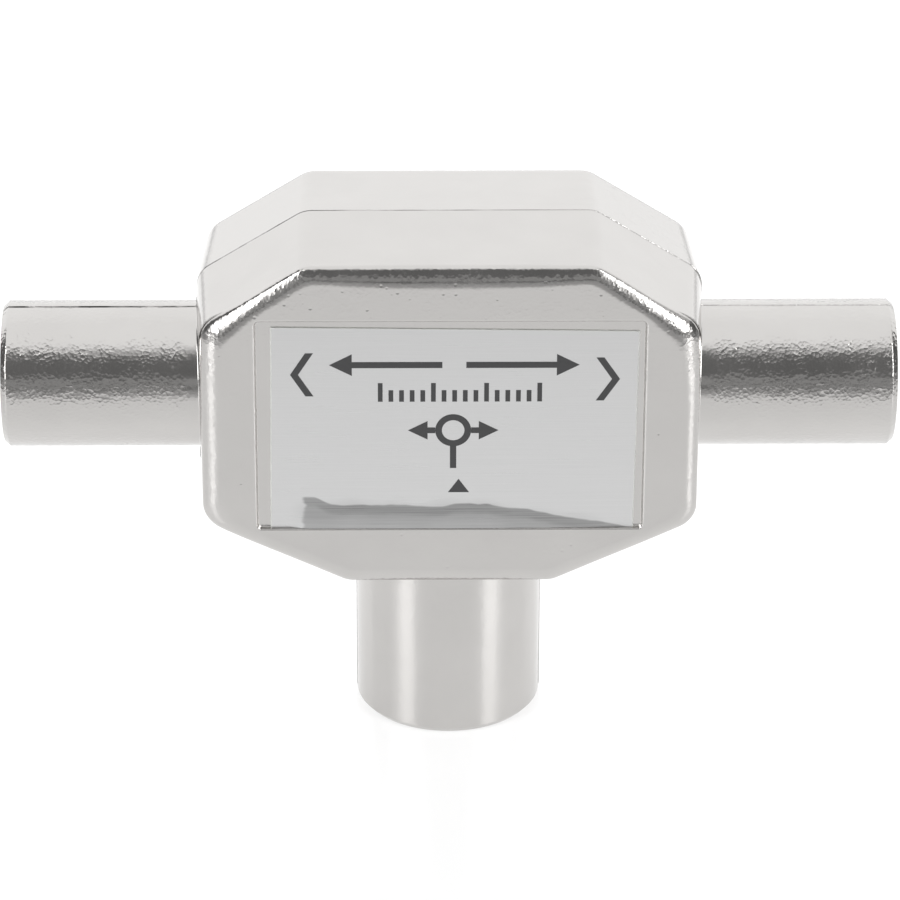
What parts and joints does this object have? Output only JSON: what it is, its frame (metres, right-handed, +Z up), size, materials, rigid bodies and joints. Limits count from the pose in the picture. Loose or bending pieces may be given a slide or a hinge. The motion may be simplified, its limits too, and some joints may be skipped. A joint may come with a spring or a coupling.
{
  "type": "rf power splitter",
  "caption": "Coaxial signal splitter: nickel-plated cast body with bevelled corners, a plug output at each side and a socket input below.",
  "frame": {"origin": "centre of the input barrel's rim, on the surface that the splitter stands on", "axes": "+X along the outputs towards the right plug seen from the label side, +Y towards the rear cover, +Z up from the input"},
  "size_m": [0.0572, 0.0168, 0.035],
  "materials": {
    "cast_nickel": "satin",
    "pressed_nickel": "satin",
    "turned_nickel": "polished",
    "brushed_foil": "satin",
    "insulator": "matte",
    "board": "matte",
    "ferrite": "matte",
    "enamel_wire": "gloss",
    "resistor": "satin",
    "capacitor": "satin",
    "solder": "gloss"
  },
  "bodies": {
    "root": {"housing": "cast_nickel", "rear_cover": "pressed_nickel", "label": "brushed_foil", "out_pin_left": "turned_nickel", "out_pin_right": "turned_nickel", "in_contact": "turned_nickel", "out_insulator_left": "insulator", "out_insulator_right": "insulator", "in_insulator": "insulator", "circuit_board": "board", "matching_core": "ferrite", "hybrid_core": "ferrite", "matching_winding": "enamel_wire", "hybrid_winding_left": "enamel_wire", "hybrid_winding_right": "enamel_wire", "isolation_resistor": "resistor", "input_capacitor": "capacitor", "matching_capacitor": "capacitor", "output_capacitor_left": "capacitor", "output_capacitor_right": "capacitor", "solder_joint_in": "solder", "solder_joint_left": "solder", "solder_joint_right": "solder", "ground_solder_1": "solder", "ground_solder_2": "solder", "ground_solder_3": "solder", "ground_solder_4": "solder"}
  },
  "joints": []
}
